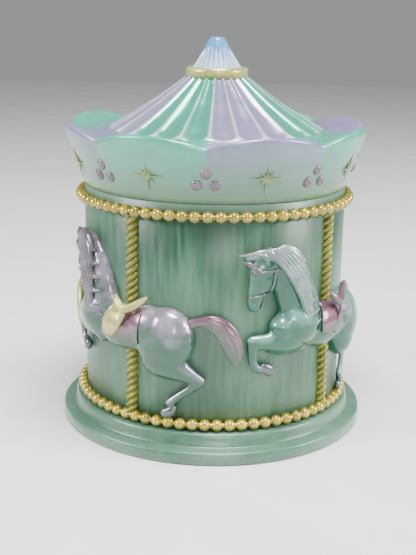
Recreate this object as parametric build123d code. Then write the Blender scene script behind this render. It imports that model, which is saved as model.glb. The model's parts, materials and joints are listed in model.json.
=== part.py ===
from build123d import *

import math
import os

# Carousel trinket box with an 18-note wind-up movement. Millimetres.
# Origin: centre of the base's bottom face. +Z is up, the front of the drum faces -Y.
# Angles round the drum are measured from the front (-Y) and grow towards +X.

# ---- driving dimensions -------------------------------------------------------------
DRUM_R = 46.0  # outside radius of the drum
DRUM_BORE_R = 43.2  # inside radius of the drum
FLANGE_R = 54.6
FLANGE_TOP = 4.45
PLINTH_TOP = 9.2
PLINTH_FOOT_R = 50.25
PLINTH_TOP_R = 49.2
DRUM_TOP = 85.0

BEAD_COUNT = 72
BEAD_R = 1.98
BEAD_RING_R = 47.13
LOWER_BEADS_Z = 11.27
UPPER_BEADS_Z = 81.2

RECESS_R = 41.0  # recess under the base, where the key sits
SCREW_CIRCLE_R = 38.9
LIP_R = 37.5
COVER_BOTTOM = 10.8
COVER_TOP = 13.0
LIP_TOP = 15.0
WELL_FLOOR_BOTTOM = 38.5
WELL_FLOOR_TOP = 40.5

POLE_ANGLES = {"front_left": -35.2, "front_right": 54.8, "back_right": 144.8, "back_left": -125.2}
POLE_R = 2.4
RELIEF_BACK_R = DRUM_R + 0.02

SCALLOPS = 8
FIRST_VALLEY = -3.4  # angle of the scallop valley beside the front
FLUTES = 24
RIM_PEAK_R = 53.7
RIM_VALLEY_R = 51.2
RIM_PEAK_Z = 106.6
RIM_VALLEY_Z = 103.3
LID_BOTTOM = DRUM_TOP + 0.1
CONE_FOOT_R = 38.0
CONE_FOOT_Z = 104.6
CONE_TOP_R = 10.3
CONE_TOP_Z = 122.1
CONE_BORE_R = 8.0  # opening inside the cone's top
CONE_BORE_Z = CONE_TOP_Z - 3.4
LID_BORE_R = 35.0  # opening under the cone
FLUTE_LIFT = 9.4  # degrees between a flute's cutter and the slope: more is shallower
COLLAR_R = 10.8
COLLAR_Z = 123.6
COLLAR_TUBE_R = 1.5
COLLAR_BORE_R = COLLAR_R - 3.0
SPIRE_TIP_Z = 135.0
SPIRE_TIP_R = 2.3

# movement: the winding arbor is upright, the cylinder lies along X
MODULE_CROWN = 0.6
MODULE_FINE = 0.5
CROWN_TEETH = 48
CYLINDER_PINION_TEETH = 20
CYLINDER_WHEEL_TEETH = 30
GOVERNOR_PINION_TEETH = 10
WORM_WHEEL_TEETH = 12
KEY_X = -17.0
BED_TOP = LIP_TOP
CROWN_PITCH_R = MODULE_CROWN * CROWN_TEETH / 2
CROWN_PITCH_Z = BED_TOP + 2.6
AXIS_Z = CROWN_PITCH_Z + MODULE_CROWN * CYLINDER_PINION_TEETH / 2 + 0.1  # cylinder axis
GOVERNOR_Y = MODULE_FINE * (CYLINDER_WHEEL_TEETH + GOVERNOR_PINION_TEETH) / 2 + 0.12
WORM_R = 2.0  # pitch radius of the worm
WORM_X = 22.6
WORM_Y = GOVERNOR_Y + MODULE_CROWN * WORM_WHEEL_TEETH / 2 + WORM_R + 0.12
LEAD = math.pi * MODULE_CROWN
NOTES = 18
NOTE_PITCH = 0.95
CYLINDER_R = 6.5
PIN_OUT = 0.6
RUNNING = 0.05  # radial clearance of a shaft in its bearing
STOP_X = 33.0
STOP_Y = 11.0
ARBOR_R = 1.5  # winding arbor
CYLINDER_ARBOR_R = 1.0
GOVERNOR_ARBOR_R = 0.6  # also the fan's upright shaft
SCREW_R = 1.0
SCREW_HOLE_R = 1.05
CUP_R = 12.5  # spring cup
CUP_BORE_R = 11.6
WHEEL_X = 19.2  # left face of the cylinder's wheel and the governor's pinion
COMB_LEFT = 0.2  # X of the comb's first tine
COMB_SCREW_Y = -21.2


# ---- helpers ------------------------------------------------------------------------
def save(node, *shapes):
    solids = []
    for shape in shapes:
        solids += list(shape.solids())
    export_step(solids[0] if len(solids) == 1 else Compound(children=solids), f"parts/{node}.step")


def at(angle, radius, z):
    """Place on the drum at an angle from the front, local Z pointing outwards, local Y up."""
    turn = math.radians(angle)
    outward = (math.sin(turn), -math.cos(turn), 0)
    along = (math.cos(turn), math.sin(turn), 0)
    origin = (radius * outward[0], radius * outward[1], z)
    return Location(Plane(origin=origin, x_dir=along, z_dir=outward))


def tube(outer, inner, bottom, top):
    height = top - bottom
    ring = Cylinder(outer, height) - Cylinder(inner, height + 2)
    return Pos(0, 0, (bottom + top) / 2) * ring


def rod(radius, bottom, top, x=0.0, y=0.0):
    return Pos(x, y, (bottom + top) / 2) * Cylinder(radius, top - bottom)


def rod_x(radius, left, right, y=0.0, z=0.0):
    return Pos((left + right) / 2, y, z) * Rot(0, 90, 0) * Cylinder(radius, right - left)


def block(x0, x1, y0, y1, z0, z1):
    return Pos((x0 + x1) / 2, (y0 + y1) / 2, (z0 + z1) / 2) * Box(x1 - x0, y1 - y0, z1 - z0)


def turned(points):
    """Solid of revolution from a closed profile of (radius, height) points."""
    profile = make_face(Polyline(*[(r, 0, z) for r, z in points], close=True))
    return revolve(profile, Axis.Z, 360)


def gear(teeth, module, thickness, phase=0.0, share=0.40):
    """Spur wheel about Z, with straight flanks; share is the tooth's part of the pitch."""
    pitch_r = module * teeth / 2
    root, tip = pitch_r - 1.2 * module, pitch_r + 0.85 * module
    step = 2 * math.pi / teeth
    outline = []
    for tooth in range(teeth):
        middle = tooth * step + math.radians(phase)
        crest = 0.5 * share - 0.11
        for radius, half in ((root, 0.30), (tip, crest), (tip, -crest), (root, -0.30)):
            angle = middle - half * step
            outline.append((radius * math.cos(angle), radius * math.sin(angle)))
    return extrude(make_face(Polyline(*outline, close=True)), thickness)


def on_x_axis(shape, x, y):
    """Lay a wheel made about Z onto an axle along X: its local X points to +Y, its local Y up."""
    return Location(Plane(origin=(x, y, AXIS_Z), x_dir=(0, 1, 0), z_dir=(1, 0, 0))) * shape


# ---- base and drum ------------------------------------------------------------------
def base_plinth():
    outside = [
        (RECESS_R, 0),
        (FLANGE_R - 0.4, 0),
        (FLANGE_R, 0.4),
        (FLANGE_R, FLANGE_TOP - 0.5),
        (FLANGE_R - 0.5, FLANGE_TOP),
        (PLINTH_FOOT_R, FLANGE_TOP + 0.15),
        (PLINTH_TOP_R, PLINTH_TOP),
        (DRUM_BORE_R - 0.1, PLINTH_TOP),
        (DRUM_BORE_R - 0.1, LIP_TOP),
        (LIP_R, LIP_TOP),
        (LIP_R, COVER_TOP),
        (RECESS_R, COVER_TOP),
    ]
    body = turned(outside)
    for angle in range(45, 360, 90):
        body -= at(angle, 0, 0) * Pos(0, 0, SCREW_CIRCLE_R) * Rot(90, 0, 0) * Cylinder(SCREW_HOLE_R, 60)
    return body


def bead_ring():
    beads = [at(360 / BEAD_COUNT * (i + 0.5), BEAD_RING_R, 0) * Sphere(BEAD_R) for i in range(BEAD_COUNT)]
    ring = Torus(BEAD_RING_R, 0.8) + beads
    return ring - rod(RELIEF_BACK_R, -5, 5)


def pole():
    full = rod(POLE_R, LOWER_BEADS_Z + 2.2, UPPER_BEADS_Z - 2.2, 0, -DRUM_R + 0.2)
    return full - rod(RELIEF_BACK_R, 0, 100)


# A horse runs to the left. Outlines are (degrees from its pole, height).
TRUNK = [
    (-23.0, 45.0), (-31.0, 47.5), (-30.5, 56.0), (-33.5, 50.8), (-37.5, 52.5), (-37.8, 60.0),
    (-40.5, 66.0), (-36.0, 70.3), (-27.0, 72.0), (-18.5, 70.0), (-11.0, 61.5), (-5.5, 52.0),
    (0.0, 49.8), (6.5, 49.3), (14.0, 51.3), (22.0, 49.0), (27.8, 43.5), (27.0, 36.0),
    (20.0, 30.5), (10.0, 31.0), (-2.0, 33.2), (-14.0, 35.0),
]
FORELEG = [
    (-13.0, 43.0), (-24.0, 43.4), (-30.0, 41.8), (-36.5, 42.5), (-39.3, 40.5), (-37.5, 33.0), (-32.5, 28.0),
    (-26.5, 28.5), (-29.5, 33.0), (-33.5, 37.5), (-26.5, 34.8), (-12.0, 36.5),
]
HINDLEG = [
    (7.0, 36.0), (9.0, 30.5), (14.5, 27.5), (21.0, 27.0), (20.0, 22.0), (16.0, 17.5),
    (14.5, 14.2), (21.0, 14.2), (21.5, 18.0), (26.5, 21.8), (31.8, 25.5), (29.5, 29.5),
    (23.0, 33.0), (25.0, 38.0), (16.0, 42.0),
]
TAIL = [
    (24.0, 45.5), (30.0, 48.0), (36.0, 49.0), (43.0, 46.0), (48.0, 39.5), (48.6, 33.0),
    (43.8, 31.0), (41.5, 36.0), (37.0, 42.0), (31.0, 44.0), (27.0, 42.0),
]
SADDLE = [
    (-9.5, 52.0), (-6.5, 54.3), (-2.5, 50.6), (3.5, 50.6), (7.8, 53.8), (8.5, 48.5),
    (3.5, 38.0), (-4.0, 37.6), (-12.0, 39.5), (-17.5, 41.0), (-13.0, 46.0),
]


def relief(outline, proud, behind=0.0):
    """Solid with the given outline that stands out of the drum's front wall."""
    middle = sum(a for a, _ in outline) / len(outline)
    face_r = DRUM_R + 2.0
    points = [(face_r * math.sin(math.radians(a - middle)), z) for a, z in outline]
    prism = at(middle, 20.0, 0) * extrude(make_face(Polyline(*points, close=True)), 40.0)
    return prism & tube(DRUM_R + proud, RELIEF_BACK_R + behind, 13.6, 78.0)


def horse_and_saddle():
    saddle = relief(SADDLE, 6.4, behind=4.0)
    horse = relief(TRUNK, 5.4)
    for outline, proud in ((FORELEG, 4.2), (HINDLEG, 4.6), (TAIL, 4.2)):
        horse += relief(outline, proud)
    return horse - saddle, saddle


def drum_pieces():
    save("base_plinth", base_plinth())
    save("drum_shell", tube(DRUM_R, DRUM_BORE_R, PLINTH_TOP, DRUM_TOP))
    beads = bead_ring()
    save("lower_bead_ring", Pos(0, 0, LOWER_BEADS_Z) * beads)
    save("upper_bead_ring", Pos(0, 0, UPPER_BEADS_Z) * beads)
    save("well_floor", rod(DRUM_BORE_R - 0.02, WELL_FLOOR_BOTTOM, WELL_FLOOR_TOP))
    horse, saddle = horse_and_saddle()
    mast = pole() - horse - saddle
    for name, angle in POLE_ANGLES.items():
        turn = Rot(0, 0, angle)
        save(f"horse_{name}", turn * horse)
        save(f"saddle_{name}", turn * saddle)
        save(f"pole_{name}", turn * mast)


# ---- lid ----------------------------------------------------------------------------
def lobed_wire(valley_r, peak_r, z):
    """Closed outline of eight shallow lobes at one height."""
    step = 360 / SCALLOPS
    edges = []
    for lobe in range(SCALLOPS):
        start = FIRST_VALLEY + lobe * step
        knots = [(start, valley_r), (start + step / 2, peak_r), (start + step, valley_r)]
        points = []
        for angle, radius in knots:
            turn = math.radians(angle)
            points.append((radius * math.sin(turn), -radius * math.cos(turn), z))
        edges.append(ThreePointArc(*points))
    return Wire(edges)


def valance():
    sections = [
        (46.0, 46.0, LID_BOTTOM),
        (47.9, 48.3, 91.5),
        (50.3, 51.4, 98.0),
        (RIM_VALLEY_R, RIM_PEAK_R, 103.6),
        (RIM_VALLEY_R - 0.7, RIM_PEAK_R - 0.6, RIM_PEAK_Z),
    ]
    body = loft([Face(lobed_wire(*section)) for section in sections], ruled=True)
    half = RIM_PEAK_R * math.sin(math.radians(180 / SCALLOPS)) * 0.8
    rise = RIM_PEAK_Z - RIM_VALLEY_Z
    left = ThreePointArc((0, 0), (-half * 0.45, rise * 0.68), (-half, rise))
    right = ThreePointArc((half, rise), (half * 0.45, rise * 0.68), (0, 0))
    sky = Polyline((-half, rise), (-half, rise + 2), (half, rise + 2), (half, rise))
    notch = extrude(make_face([left, sky, right]), 30)
    for lobe in range(SCALLOPS):
        body -= at(FIRST_VALLEY + lobe * 360 / SCALLOPS, 34.0, RIM_VALLEY_Z) * notch
    bowl = turned([
        (0, CONE_FOOT_Z - 1.0), (CONE_FOOT_R, CONE_FOOT_Z - 1.0), (CONE_FOOT_R + 2.0, CONE_FOOT_Z - 1.2),
        (RIM_VALLEY_R - 3.2, RIM_VALLEY_Z - 0.3), (RIM_PEAK_R - 3.0, RIM_PEAK_Z + 0.3),
        (RIM_PEAK_R - 3.0, RIM_PEAK_Z + 5), (0, RIM_PEAK_Z + 5),
    ])
    hollow = turned([
        (0, LID_BOTTOM - 1), (DRUM_BORE_R - 0.3, LID_BOTTOM - 1), (DRUM_BORE_R - 0.3, 97.0),
        (LID_BORE_R, 101.0), (LID_BORE_R, CONE_FOOT_Z), (0, CONE_FOOT_Z),
    ])
    return body - bowl - hollow


def roof_cone():
    foot_z = CONE_FOOT_Z - 1.0
    inner_r = LID_BORE_R - 0.1
    outside = [
        (0, foot_z), (CONE_FOOT_R, foot_z), (CONE_FOOT_R, CONE_FOOT_Z),
        (CONE_TOP_R, CONE_TOP_Z), (0, CONE_TOP_Z),
    ]
    inside = [
        (0, foot_z - 1), (inner_r, foot_z - 1), (inner_r, foot_z),
        (CONE_BORE_R, CONE_BORE_Z), (0, CONE_BORE_Z),
    ]
    body = turned(outside) - turned(inside)
    # every flute is cut by a cone whose tip is the roof's own tip, so that it narrows upwards
    slope = math.degrees(math.atan2(CONE_TOP_Z - CONE_FOOT_Z, CONE_FOOT_R - CONE_TOP_R))
    tip_z = CONE_FOOT_Z + CONE_FOOT_R * math.tan(math.radians(slope))
    reach = CONE_FOOT_R / math.cos(math.radians(slope)) * 1.2
    half_width = CONE_FOOT_R * 1.2 * math.tan(math.pi / FLUTES)
    lift = reach * math.sin(math.radians(FLUTE_LIFT))
    cutter = Pos(0, 0, -reach / 2) * Cone(math.hypot(half_width, lift), 0, reach)
    for flute in range(FLUTES):
        angle = FIRST_VALLEY + (flute + 0.5) * 360 / FLUTES
        body -= at(angle, 0, tip_z) * Rot(180 + slope - FLUTE_LIFT, 0, 0) * cutter
    return body


def roof_collar(cone, spire):
    ring = Pos(0, 0, COLLAR_Z) * Torus(COLLAR_R - COLLAR_TUBE_R, COLLAR_TUBE_R)
    band = tube(COLLAR_R - 0.4, COLLAR_BORE_R, COLLAR_Z - COLLAR_TUBE_R, COLLAR_Z + 1.0)
    drops = []
    for lobe in range(FLUTES // 2):
        place = at(lobe * 720 / FLUTES, COLLAR_R - COLLAR_TUBE_R, COLLAR_Z - 1.2)
        drops.append(place * Sphere(COLLAR_TUBE_R))
    collar = ring + band + drops
    return collar - rod(COLLAR_BORE_R, 100, 140) - cone - spire


def roof_spire():
    flared = [
        (8.9, 124.2), (7.7, 125.8), (6.0, 128.5), (4.65, 130.9), (3.3, 133.2), (SPIRE_TIP_R, 134.8),
    ]
    stem_r = COLLAR_BORE_R - 0.02
    plain = [
        flared[-1], (SPIRE_TIP_R - 0.3, SPIRE_TIP_Z), (0, SPIRE_TIP_Z),
        (0, CONE_TOP_Z), (stem_r, CONE_TOP_Z), (stem_r, flared[0][1]), flared[0],
    ]
    flare = Spline(*[(r, 0, z) for r, z in flared])
    rest = Polyline(*[(r, 0, z) for r, z in plain])
    return revolve(make_face([flare, rest]), Axis.Z, 360)


def berry_cluster(lid_wall):
    """Three berries on the valance, below its first valley."""
    cluster = []
    for side, z in ((0.0, 94.2), (-3.4, 90.0), (3.4, 90.0)):
        radius = 45.9 + (z - LID_BOTTOM) * 0.33
        cluster += (at(FIRST_VALLEY + side, radius, z) * Sphere(1.65) - lid_wall).solids()
    return cluster


def starburst(lid_wall):
    angle = FIRST_VALLEY + 180 / SCALLOPS
    rays = 16
    outline = []
    for ray in range(rays):
        turn = math.pi * ray / (rays / 2)
        reach = (6.0, 1.8, 3.6, 1.8)[ray % 4]
        outline.append((reach * math.cos(turn), reach * math.sin(turn)))
    plate = extrude(make_face(Polyline(*outline, close=True)), 3.0)
    lean = Rot(19, 0, 0)
    star = at(angle, 48.3, 93.2) * lean * Pos(0, 0, -1.6) * plate
    shell = turned([(46.7, 84.9), (53.8, 106.0), (40, 106.0), (40, 84.9)])
    return (star & shell) - lid_wall


def lid_pieces():
    wall = valance()
    cone = roof_cone()
    spire = roof_spire()
    save("valance", wall)
    save("roof_cone", cone)
    save("roof_spire", spire)
    save("roof_collar", roof_collar(cone, spire))
    save("lid_locating_ring", tube(DRUM_BORE_R - 0.32, DRUM_BORE_R - 2.2, 81.5, 90.0))
    cluster = berry_cluster(wall)
    star = starburst(wall)
    turns = [Rot(0, 0, lobe * 360 / SCALLOPS) for lobe in range(SCALLOPS)]
    save("valance_berries", *[turn * berry for turn in turns for berry in cluster])
    save("valance_stars", *[turn * star for turn in turns])


# ---- movement: fixed pieces ---------------------------------------------------------
MOVEMENT_SCREWS = [(-8.0, -19.0), (23.0, -8.0), (12.0, 14.0)]
COMB_SCREWS_X = (3.5, 13.6)
COMB_FRONT = -(CYLINDER_R + PIN_OUT + 0.3)
COMB_BACK = -24.0
COMB_BOTTOM = AXIS_Z - 0.6


def bedplate():
    plate = block(-8, 26.5, -24.5, 20.5, COVER_TOP, BED_TOP) + rod(19.5, COVER_TOP, BED_TOP, KEY_X)
    plate -= block(20, 30, -30, -21, 10, 20)
    plate -= rod(ARBOR_R + RUNNING, 10, 20, KEY_X)
    plate -= rod(GOVERNOR_ARBOR_R + RUNNING, BED_TOP - 1.2, 20, WORM_X, WORM_Y)
    for x, y in MOVEMENT_SCREWS:
        plate -= rod(SCREW_HOLE_R, 10, 20, x, y)
    return plate


def bottom_cover():
    plate = rod(RECESS_R - 0.2, COVER_BOTTOM, COVER_TOP)
    plate -= rod(4.0, 10, 20, KEY_X)
    plate -= rod(1.25 + RUNNING, 10, 20, STOP_X, STOP_Y)
    for x, y in MOVEMENT_SCREWS:
        plate -= rod(1.2, 10, 20, x, y)
    for angle in range(45, 360, 90):
        plate -= at(angle, SCREW_CIRCLE_R, 12) * Rot(90, 0, 0) * Cylinder(1.2, 10)
    return plate


def pan_screw(x, y, top):
    """Pan-head screw that comes up through the bottom cover."""
    screw = rod(SCREW_R, COVER_BOTTOM, top, x, y) + rod(1.9, COVER_BOTTOM - 1.2, COVER_BOTTOM, x, y)
    slot = block(x - 3, x + 3, y - 0.25, y + 0.25, COVER_BOTTOM - 2, COVER_BOTTOM - 0.7)
    return screw - slot


def spring_cup():
    cup = tube(CUP_R, CUP_BORE_R, 19.2, 31.0) + tube(CUP_R, ARBOR_R + RUNNING, 30.0, 31.0)
    for turn in (0, 180):
        arm = block(-3, 3, 12.2, 18.6, 27.5, 29.0) + block(-3, 3, 17.1, 18.6, BED_TOP, 29.0)
        cup += Rot(0, 0, turn) * arm
    cup = Pos(KEY_X, 0, 0) * cup
    return cup - rod(CUP_BORE_R, 19.0, 30.0, KEY_X)


def mainspring():
    """Spiral of half circles struck from two centres, like a coiled ribbon."""
    pitch, thick, turns, first = 1.1, 0.35, 7, 3.2
    outer_edges = []
    inner_edges = []
    for half in range(2 * turns):
        radius = first + half * pitch / 2
        centre = 0.0 if half % 2 == 0 else pitch / 2
        side = 1 if half % 2 == 0 else -1
        for edges, r in ((outer_edges, radius + thick / 2), (inner_edges, radius - thick / 2)):
            start, middle, end = (centre + side * r, 0), (centre, side * r), (centre - side * r, 0)
            edges.append(ThreePointArc(start, middle, end))
    lead_in = Line(inner_edges[0] @ 0, outer_edges[0] @ 0)
    tail = Line(outer_edges[-1] @ 1, inner_edges[-1] @ 1)
    ribbon = extrude(make_face(outer_edges + inner_edges + [lead_in, tail]), 8.5)
    return Pos(KEY_X, 0, 20.5) * ribbon


def bearing_post():
    post = block(-1.45, -0.45, -3.0, 3.0, BED_TOP, AXIS_Z + 3.0)
    return post - rod_x(CYLINDER_ARBOR_R + RUNNING, -5, 5, 0, AXIS_Z)


def governor_frame():
    right = block(24.4, 25.6, -3.0, 12.9, BED_TOP, AXIS_Z + 3.0)
    left = block(17.9, 18.7, 7.9, 12.9, BED_TOP, AXIS_Z + 3.0)
    foot = block(17.9, 25.6, 8.2, 12.9, BED_TOP, BED_TOP + 0.8)
    frame = right + left + foot
    frame -= rod_x(CYLINDER_ARBOR_R + RUNNING, 20, 30, 0, AXIS_Z)
    return frame - rod_x(GOVERNOR_ARBOR_R + RUNNING, 10, 30, GOVERNOR_Y, AXIS_Z)


def governor_cock():
    post = rod(1.5, 27.0, 36.4, WORM_X, WORM_Y + 8.0) + rod(2.4, BED_TOP, 27.0, WORM_X, WORM_Y + 8.0)
    arm = block(WORM_X - 1.6, WORM_X + 1.6, WORM_Y - 1.6, WORM_Y + 8.0, 35.4, 36.4)
    return post + arm - rod(GOVERNOR_ARBOR_R + RUNNING, 30, 36.0, WORM_X, WORM_Y)


def comb():
    """Steel comb: one tine for each note, longest tine for the lowest note."""
    width = NOTES * NOTE_PITCH
    plate = block(COMB_LEFT, COMB_LEFT + width, COMB_BACK, COMB_FRONT, COMB_BOTTOM, COMB_BOTTOM + 1.0)
    for note in range(NOTES - 1):
        gap_x = COMB_LEFT + (note + 1) * NOTE_PITCH
        root = COMB_FRONT - 11.0 + 5.0 * note / NOTES
        plate -= block(gap_x - 0.15, gap_x + 0.15, root, COMB_FRONT + 1, 10, 30)
    for x in COMB_SCREWS_X:
        plate -= rod(SCREW_HOLE_R, 10, 30, x, COMB_SCREW_Y)
    return plate


def comb_block():
    base = block(COMB_LEFT, COMB_LEFT + NOTES * NOTE_PITCH, COMB_BACK, COMB_BACK + 5.0, BED_TOP, COMB_BOTTOM)
    for x in COMB_SCREWS_X:
        base -= rod(SCREW_HOLE_R, 10, 30, x, COMB_SCREW_Y)
    return base


def comb_screw(x):
    screw = rod(SCREW_R, BED_TOP + 1.0, COMB_BOTTOM + 1.0, x, COMB_SCREW_Y)
    return screw + rod(1.8, COMB_BOTTOM + 1.0, COMB_BOTTOM + 2.0, x, COMB_SCREW_Y)


def movement_frame_pieces():
    save("bedplate", bedplate())
    save("bottom_cover", bottom_cover())
    save("movement_screws", *[pan_screw(x, y, BED_TOP) for x, y in MOVEMENT_SCREWS])
    diagonal = SCREW_CIRCLE_R * math.sqrt(0.5)
    corners = [(sx * diagonal, sy * diagonal) for sx in (-1, 1) for sy in (-1, 1)]
    save("cover_screws", *[pan_screw(x, y, LIP_TOP) for x, y in corners])
    save("spring_cup", spring_cup())
    save("mainspring", mainspring())
    save("bearing_post", bearing_post())
    save("governor_frame", governor_frame())
    save("governor_cock", governor_cock())
    save("comb", comb())
    save("comb_block", comb_block())
    save("comb_screws", *[comb_screw(x) for x in COMB_SCREWS_X])


# ---- movement: turning pieces -------------------------------------------------------
def great_wheel():
    """Crown wheel under the spring: radial teeth that stand up from its rim."""
    web_top = CROWN_PITCH_Z - 0.8
    wheel = tube(CROWN_PITCH_R + 0.75, ARBOR_R, BED_TOP + 0.4, web_top - 0.6)
    wheel += tube(CROWN_PITCH_R + 0.75, CROWN_PITCH_R - 1.0, BED_TOP + 0.4, web_top)
    flanks = Polyline((-0.45, -0.2), (0.45, -0.2), (0.22, 1.35), (-0.22, 1.35), close=True)
    tooth = extrude(make_face(flanks), 1.5)
    teeth = []
    for i in range(CROWN_TEETH):
        angle = 90 + (i + 0.5) * 360 / CROWN_TEETH
        teeth.append(at(angle, CROWN_PITCH_R - 0.75, web_top) * tooth)
    return Pos(KEY_X, 0, 0) * (wheel + teeth)


def winding_arbor():
    arbor = rod(ARBOR_R, 5.0, 31.6, KEY_X)
    return arbor + rod(2.4, 18.0, 29.6, KEY_X)


def winding_key():
    """Butterfly key in the recess: a hub with two pierced wings."""
    hub = rod(2.9, 2.2, 12.4, KEY_X) - rod(ARBOR_R, 5.0, 13.0, KEY_X)
    wing = Pos(6.4, 0, 5.4) * Rot(90, 0, 0) * (Cylinder(4.1, 1.5) - Cylinder(1.9, 3))
    wings = Pos(KEY_X, 0, 0) * (wing + Rot(0, 0, 180) * wing)
    return hub + (wings - rod(2.0, 0, 20, KEY_X))


def pin_cylinder():
    body = rod_x(CYLINDER_R, 0.0, 17.5, 0, AXIS_Z) - rod_x(CYLINDER_ARBOR_R, -1, 20, 0, AXIS_Z)
    pins = []
    for note in range(NOTES):
        x = COMB_LEFT + (note + 0.5) * NOTE_PITCH
        for beat in range(5):
            angle = (note * 47 + beat * 71 + beat * note * 13) % 360
            turn = math.radians(angle)
            middle = CYLINDER_R + PIN_OUT / 2 - 0.1
            spot = Pos(x, middle * math.cos(turn), AXIS_Z + middle * math.sin(turn))
            pins.append(spot * Rot(angle - 90, 0, 0) * Cylinder(0.18, PIN_OUT + 0.2))
    return body + pins


def governor_worm():
    """Single-start worm; its thread gap faces the worm wheel's tooth."""
    core = rod(WORM_R - 0.65, 17.2, 29.2, WORM_X, WORM_Y)
    start = AXIS_Z - 2.25 * LEAD
    path = Helix(pitch=LEAD, height=4.5 * LEAD, radius=WORM_R - 0.75)
    outline = Polyline((0, -0.42), (1.15, -0.16), (1.15, 0.16), (0, 0.42), close=True)
    section = Plane(origin=path @ 0, x_dir=(1, 0, 0), z_dir=path % 0) * make_face(outline)
    thread = sweep(section, path=path, is_frenet=True)
    shaft = rod(GOVERNOR_ARBOR_R, BED_TOP - 1.0, 35.9, WORM_X, WORM_Y)
    return core + shaft + Pos(WORM_X, WORM_Y, start) * thread


def governor_fan():
    """Air brake: two vanes over a plain brake disc, pressed on the worm's shaft."""
    hub = rod(3.0, 29.8, 30.8, WORM_X, WORM_Y) + rod(1.2, 30.8, 34.8, WORM_X, WORM_Y)
    vanes = block(WORM_X - 5.2, WORM_X + 5.2, WORM_Y - 0.3, WORM_Y + 0.3, 30.8, 34.4)
    return hub + vanes - rod(GOVERNOR_ARBOR_R, 20, 40, WORM_X, WORM_Y)


def stop_lever():
    """Lever under the cover with a thumb tab; its wire finger brakes the fan's disc."""
    shaft = rod(1.25, 8.6, 30.9, STOP_X, STOP_Y)
    arm = block(-13.0, 1.8, -1.8, 1.8, 8.6, 9.6) + block(-13.0, -12.0, -1.8, 1.8, 4.6, 9.6)
    reach = math.hypot(STOP_X - WORM_X, STOP_Y - WORM_Y) - 3.35
    finger = Pos(-reach / 2, 0, 30.3) * Rot(0, 90, 0) * Cylinder(0.4, reach)
    aim = math.degrees(math.atan2(STOP_Y - WORM_Y, STOP_X - WORM_X))
    finger = Pos(STOP_X, STOP_Y, 0) * Rot(0, 0, aim + 24) * finger
    return shaft + Pos(STOP_X, STOP_Y, 0) * Rot(0, 0, 20) * arm + finger


def turning_pieces():
    save("great_wheel", great_wheel())
    save("winding_arbor", winding_arbor())
    save("winding_key", winding_key())
    save("pin_cylinder", pin_cylinder())
    save("cylinder_arbor", rod_x(CYLINDER_ARBOR_R, -4.0, 25.9, 0, AXIS_Z))
    pinion = gear(CYLINDER_PINION_TEETH, MODULE_CROWN, 1.5, phase=-90)
    pinion_x = KEY_X + CROWN_PITCH_R - 0.75
    axle = rod_x(CYLINDER_ARBOR_R, -10, 30, 0, AXIS_Z)
    save("cylinder_pinion", on_x_axis(pinion, pinion_x, 0) - axle)
    wheel = gear(CYLINDER_WHEEL_TEETH, MODULE_FINE, 1.5)
    save("cylinder_wheel", on_x_axis(wheel, WHEEL_X, 0) - axle)
    small = gear(GOVERNOR_PINION_TEETH, MODULE_FINE, 1.5, phase=18, share=0.36)
    worm_wheel = gear(WORM_WHEEL_TEETH, MODULE_CROWN, 1.0, share=0.36)
    governor_axle = rod_x(GOVERNOR_ARBOR_R, 10, 30, GOVERNOR_Y, AXIS_Z)
    save("governor_pinion", on_x_axis(small, WHEEL_X, GOVERNOR_Y) - governor_axle)
    save("worm_wheel", on_x_axis(worm_wheel, WORM_X - 0.5, GOVERNOR_Y) - governor_axle)
    save("governor_arbor", rod_x(GOVERNOR_ARBOR_R, 17.95, 25.5, GOVERNOR_Y, AXIS_Z))
    save("governor_worm", governor_worm())
    save("governor_fan", governor_fan())
    save("stop_lever", stop_lever())


os.makedirs("parts", exist_ok=True)
drum_pieces()
lid_pieces()
movement_frame_pieces()
turning_pieces()
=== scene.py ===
# %% [markdown]
# # A carousel music box in translucent resin
#
# This notebook dresses a small wind-up music box. The measured model comes from CAD and is
# loaded as a fixed frame: a base, a lift-off roof and the movement under the floor. Blender
# adds what CAD leaves plain: four horses sculpted in low relief, rope-twist poles, strings of
# beads, a fluted tent roof, and the pearly paints on frosted resin.

# %% Load the frame
import json
import math

import bmesh
import bpy
from mathutils import Matrix, Vector


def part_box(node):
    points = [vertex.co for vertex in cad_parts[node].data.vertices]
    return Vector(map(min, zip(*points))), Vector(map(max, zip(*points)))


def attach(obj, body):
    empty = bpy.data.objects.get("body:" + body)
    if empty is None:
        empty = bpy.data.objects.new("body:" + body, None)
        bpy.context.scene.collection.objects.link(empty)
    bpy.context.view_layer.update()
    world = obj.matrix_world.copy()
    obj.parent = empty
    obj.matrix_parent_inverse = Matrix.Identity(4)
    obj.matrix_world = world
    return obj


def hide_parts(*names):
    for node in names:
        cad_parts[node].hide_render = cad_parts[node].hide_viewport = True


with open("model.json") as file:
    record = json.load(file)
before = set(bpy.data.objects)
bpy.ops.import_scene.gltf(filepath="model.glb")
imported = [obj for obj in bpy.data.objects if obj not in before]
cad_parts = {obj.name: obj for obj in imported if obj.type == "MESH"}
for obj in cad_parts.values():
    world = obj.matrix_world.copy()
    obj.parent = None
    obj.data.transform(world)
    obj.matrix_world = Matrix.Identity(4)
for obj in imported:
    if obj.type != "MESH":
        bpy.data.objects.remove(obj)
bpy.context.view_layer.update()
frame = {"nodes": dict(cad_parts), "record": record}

# %% [markdown]
# ## Sizes
#
# The drum, base, bead strings and roof tip take their sizes from the frame, so those pieces land
# where the CAD says; the other sizes are given below. The shapes are built in millimetres, because
# that is how a maker measures such a box, and each mesh is shrunk to metres when it is finished.

# %% Driving sizes, in millimetres
MM = 0.001


def node_box(node):
    """Lowest and highest corner of a CAD node, in millimetres."""
    low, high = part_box(node)
    return low / MM, high / MM


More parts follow.
